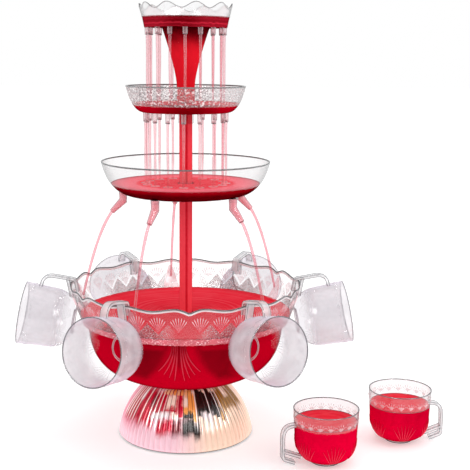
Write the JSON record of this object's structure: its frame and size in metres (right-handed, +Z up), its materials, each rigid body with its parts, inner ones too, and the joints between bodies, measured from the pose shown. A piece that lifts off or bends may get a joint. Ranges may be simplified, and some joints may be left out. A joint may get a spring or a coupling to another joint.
{
  "type": "drinks fountain",
  "caption": "Table drinks fountain: fluted bright base, clear wavy punch bowl, stacked clear tiers with nozzles on columns, and clear hook-handled cups hung on the rim.",
  "frame": {"origin": "on the fountain's axis, at the table under the base", "axes": "+Z up; the front faces -Y, with the switch and the cord gland at the back"},
  "size_m": [0.5146, 0.3808, 0.516],
  "materials": {
    "metallised_plastic": "bright vacuum-metallised",
    "black_plastic": "fine matt grain",
    "rubber": "matt",
    "silicone": "satin",
    "steel": "turned",
    "grey_plastic": "matt",
    "motor_metal": "zinc plated",
    "magnet": "sintered",
    "board": "lacquered",
    "lamp": "clear dome",
    "red_plastic": "polished",
    "white_plastic": "moulded",
    "clear_plastic": "clear, polished"
  },
  "bodies": {
    "base": {"base_shell": "metallised_plastic", "base_plate": "black_plastic", "foot_ring": "rubber", "base_screws": "steel", "motor_cradle": "grey_plastic", "motor_case": "motor_metal", "motor_screws": "steel", "lamp_board": "board", "lamps": "lamp", "light_window": "clear_plastic", "switch_frame": "black_plastic", "cord_gland": "black_plastic"},
    "rocker": {"rocker_button": "red_plastic"},
    "rotor": {"motor_shaft": "steel", "drive_magnet": "magnet"},
    "bowl": {"punch_bowl": "clear_plastic", "impeller_pin": "steel"},
    "impeller": {"impeller": "white_plastic", "impeller_magnet": "magnet"},
    "pump_cover": {"pump_cover": "clear_plastic", "cover_gasket": "silicone"},
    "lower_column": {"lower_column": "clear_plastic"},
    "lower_tier": {"lower_tier": "clear_plastic", "lower_gaskets": "silicone"},
    "upper_column": {"upper_column": "clear_plastic"},
    "middle_tier": {"middle_tier": "clear_plastic", "middle_gaskets": "silicone"},
    "top_tier": {"top_tier": "clear_plastic", "top_funnel": "clear_plastic"},
    "spout_1": {"spout_1": "clear_plastic"},
    "spout_2": {"spout_2": "clear_plastic"},
    "spout_3": {"spout_3": "clear_plastic"},
    "spout_4": {"spout_4": "clear_plastic"},
    "spout_5": {"spout_5": "clear_plastic"},
    "cup_1": {"cup_1": "clear_plastic"},
    "cup_2": {"cup_2": "clear_plastic"},
    "cup_3": {"cup_3": "clear_plastic"},
    "cup_4": {"cup_4": "clear_plastic"},
    "cup_5": {"cup_5": "clear_plastic"},
    "cup_6": {"cup_6": "clear_plastic"},
    "cup_7": {"cup_7": "clear_plastic"},
    "cup_8": {"cup_8": "clear_plastic"}
  },
  "joints": [
    {"name": "rocker_tip", "type": "hinge", "parent": "base", "child": "rocker", "pos_m": [0, 0.077, 0.023], "axis": [1, 0, 0], "range_deg": [0, 16]},
    {"name": "motor_spin", "type": "hinge", "parent": "base", "child": "rotor", "pos_m": [0, 0, 0.05], "axis": [0, 0, 1], "continuous": true},
    {"name": "impeller_spin", "type": "hinge", "parent": "bowl", "child": "impeller", "pos_m": [0, 0, 0.075], "axis": [0, 0, 1], "continuous": true},
    {"name": "bowl_lift", "type": "slide", "parent": "base", "child": "bowl", "axis": [0, 0, 1], "range_m": [0, 0.05]},
    {"name": "cover_lift", "type": "slide", "parent": "bowl", "child": "pump_cover", "axis": [0, 0, 1], "range_m": [0, 0.03]},
    {"name": "lower_column_lift", "type": "slide", "parent": "pump_cover", "child": "lower_column", "axis": [0, 0, 1], "range_m": [0, 0.03]},
    {"name": "lower_tier_lift", "type": "slide", "parent": "lower_column", "child": "lower_tier", "axis": [0, 0, 1], "range_m": [0, 0.03]},
    {"name": "upper_column_lift", "type": "slide", "parent": "lower_tier", "child": "upper_column", "axis": [0, 0, 1], "range_m": [0, 0.02]},
    {"name": "middle_tier_lift", "type": "slide", "parent": "upper_column", "child": "middle_tier", "axis": [0, 0, 1], "range_m": [0, 0.03]},
    {"name": "top_tier_lift", "type": "slide", "parent": "middle_tier", "child": "top_tier", "axis": [0, 0, 1], "range_m": [0, 0.03]},
    {"name": "spout_1_turn", "type": "hinge", "parent": "lower_tier", "child": "spout_1", "pos_m": [0.06772, 0.0345, 0.29], "axis": [0, 0, 1], "range_deg": [-60, 60]},
    {"name": "spout_2_turn", "type": "hinge", "parent": "lower_tier", "child": "spout_2", "pos_m": [-0.01189, 0.07506, 0.29], "axis": [0, 0, 1], "range_deg": [-60, 60]},
    {"name": "spout_3_turn", "type": "hinge", "parent": "lower_tier", "child": "spout_3", "pos_m": [-0.07506, 0.01189, 0.29], "axis": [0, 0, 1], "range_deg": [-60, 60]},
    {"name": "spout_4_turn", "type": "hinge", "parent": "lower_tier", "child": "spout_4", "pos_m": [-0.0345, -0.06772, 0.29], "axis": [0, 0, 1], "range_deg": [-60, 60]},
    {"name": "spout_5_turn", "type": "hinge", "parent": "lower_tier", "child": "spout_5", "pos_m": [0.05374, -0.05374, 0.29], "axis": [0, 0, 1], "range_deg": [-60, 60]},
    {"name": "cup_1_lift", "type": "slide", "parent": "bowl", "child": "cup_1", "axis": [0.2101, 0, 0.9777], "range_m": [0, 0.06]},
    {"name": "cup_2_lift", "type": "slide", "parent": "bowl", "child": "cup_2", "axis": [0.1051, 0.182, 0.9777], "range_m": [0, 0.06]},
    {"name": "cup_3_lift", "type": "slide", "parent": "bowl", "child": "cup_3", "axis": [-0.1051, 0.182, 0.9777], "range_m": [0, 0.06]},
    {"name": "cup_4_lift", "type": "slide", "parent": "bowl", "child": "cup_4", "axis": [-0.2101, 0, 0.9777], "range_m": [0, 0.06]},
    {"name": "cup_5_lift", "type": "slide", "parent": "bowl", "child": "cup_5", "axis": [-0.1051, -0.182, 0.9777], "range_m": [0, 0.06]},
    {"name": "cup_6_lift", "type": "slide", "parent": "bowl", "child": "cup_6", "axis": [0.1051, -0.182, 0.9777], "range_m": [0, 0.06]},
    {"name": "cup_7_lift", "type": "slide", "parent": "base", "child": "cup_7", "axis": [0, 0, 1], "range_m": [0, 0.06]},
    {"name": "cup_8_lift", "type": "slide", "parent": "base", "child": "cup_8", "axis": [0, 0, 1], "range_m": [0, 0.06]}
  ],
  "couplings": [
    {"joint": "impeller_spin", "follows": "motor_spin", "ratio": 1}
  ]
}
